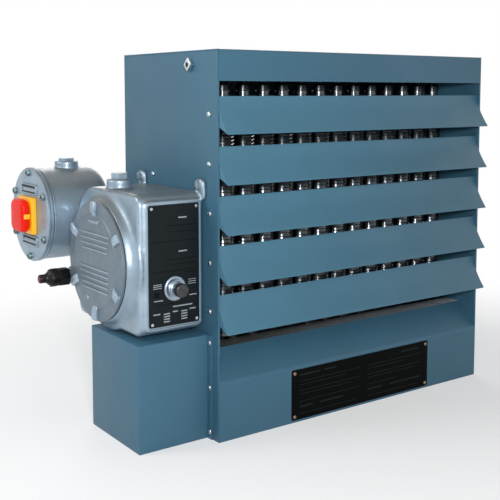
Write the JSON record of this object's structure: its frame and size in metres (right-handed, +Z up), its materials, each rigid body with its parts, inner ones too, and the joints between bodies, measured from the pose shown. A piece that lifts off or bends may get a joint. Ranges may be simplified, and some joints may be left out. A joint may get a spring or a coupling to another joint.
{
  "type": "electric unit heater",
  "caption": "Electric unit heater: sheet-steel casing with tilting louvers, finned-tube core, rear fan, cast control enclosure and rotary disconnect switch.",
  "frame": {"origin": "centre of the casing's base", "axes": "+Z up, the louvers face -Y, +X to the heater's right seen from the front"},
  "size_m": [0.793, 0.466, 0.61],
  "materials": {
    "casing_paint": "baked enamel, satin",
    "louver_paint": "baked enamel, satin",
    "galvanised": "galvanised sheet",
    "black_plate": "black anodised plate, semi-gloss",
    "brass": "plain rivets",
    "zinc": "bright zinc plate",
    "nylon": "moulded",
    "fins": "bright wound fins",
    "header_steel": "dark grey primer",
    "gasket": "compressed fibre sheet",
    "element_sheath": "oxidised sheath",
    "cast_aluminium": "as-cast, painted aluminium grey",
    "fan_aluminium": "pressed sheet",
    "machined_steel": "machined",
    "stator": "varnished laminations",
    "motor_paint": "enamel on cast iron",
    "guard_wire": "bright zinc-plated wire",
    "dial_aluminium": "turned, clear anodised",
    "knob_plastic": "moulded",
    "thermostat_shell": "moulded",
    "contactor_shell": "moulded",
    "block_plastic": "moulded",
    "yellow_plastic": "moulded",
    "red_plastic": "moulded",
    "gland_black": "moulded nylon",
    "gland_red": "moulded"
  },
  "bodies": {
    "casing": {"left_side_panel": "casing_paint", "right_side_panel": "casing_paint", "top_panel": "casing_paint", "back_panel": "casing_paint", "bottom_pan": "casing_paint", "front_lower_panel": "casing_paint", "air_baffle": "galvanised", "nameplate": "black_plate", "nameplate_rivets": "brass", "panel_screws": "zinc", "hanger_nuts": "zinc", "louver_pivot_screws": "zinc", "louver_washers": "nylon", "louver_lock_nuts": "zinc", "finned_tubes": "fins", "top_header": "header_steel", "bottom_header": "header_steel", "heater_flange": "header_steel", "heater_gasket": "gasket", "heater_elements": "element_sheath", "terminal_housing": "cast_aluminium", "heater_end_cover": "casing_paint", "fan_shroud": "casing_paint", "motor_stator": "stator", "motor_bearings": "machined_steel", "motor_housing": "motor_paint", "motor_end_bell": "motor_paint", "motor_mount": "casing_paint", "fan_guard": "guard_wire", "hex_bolts": "zinc", "enclosure_body": "cast_aluminium", "enclosure_cover": "cast_aluminium", "label_plate": "black_plate", "label_screws": "zinc", "thermostat_bezel": "dial_aluminium", "thermostat_body": "thermostat_shell", "contactor": "contactor_shell", "control_transformer": "stator", "terminal_block": "block_plastic", "pipe_plugs": "cast_aluminium", "conduit_nipples": "machined_steel", "disconnect_body": "cast_aluminium", "disconnect_cover": "cast_aluminium", "disconnect_bolts": "zinc", "switch_plate": "yellow_plastic", "switch_block": "block_plastic", "gland_body": "gland_black", "gland_plug": "gland_red"},
    "louver_1": {"louver_1": "louver_paint"},
    "louver_2": {"louver_2": "louver_paint"},
    "louver_3": {"louver_3": "louver_paint"},
    "louver_4": {"louver_4": "louver_paint"},
    "louver_5": {"louver_5": "louver_paint"},
    "fan": {"fan_blades": "fan_aluminium", "fan_hub": "header_steel", "motor_shaft": "machined_steel", "motor_rotor": "header_steel"},
    "thermostat_dial": {"thermostat_knob": "knob_plastic"},
    "switch_lever": {"switch_handle": "red_plastic", "switch_shaft": "machined_steel"}
  },
  "joints": [
    {"name": "louver_1_tilt", "type": "hinge", "parent": "casing", "child": "louver_1", "pos_m": [0, -0.1262, 0.5112], "axis": [1, 0, 0], "range_deg": [-40, 25]},
    {"name": "louver_2_tilt", "type": "hinge", "parent": "casing", "child": "louver_2", "pos_m": [0, -0.1262, 0.4345], "axis": [1, 0, 0], "range_deg": [-40, 25]},
    {"name": "louver_3_tilt", "type": "hinge", "parent": "casing", "child": "louver_3", "pos_m": [0, -0.1262, 0.3578], "axis": [1, 0, 0], "range_deg": [-40, 25]},
    {"name": "louver_4_tilt", "type": "hinge", "parent": "casing", "child": "louver_4", "pos_m": [0, -0.1262, 0.2811], "axis": [1, 0, 0], "range_deg": [-40, 25]},
    {"name": "louver_5_tilt", "type": "hinge", "parent": "casing", "child": "louver_5", "pos_m": [0, -0.1262, 0.2044], "axis": [1, 0, 0], "range_deg": [-40, 25]},
    {"name": "fan_spin", "type": "hinge", "parent": "casing", "child": "fan", "pos_m": [0, 0.118, 0.33], "axis": [0, 1, 0], "continuous": true},
    {"name": "thermostat_turn", "type": "hinge", "parent": "casing", "child": "thermostat_dial", "pos_m": [-0.351, -0.12, 0.2455], "axis": [0, -1, 0], "range_deg": [-135, 135]},
    {"name": "switch_turn", "type": "hinge", "parent": "casing", "child": "switch_lever", "pos_m": [-0.47, 0.193, 0.3345], "axis": [-1, 0, 0], "range_deg": [0, 90]}
  ]
}
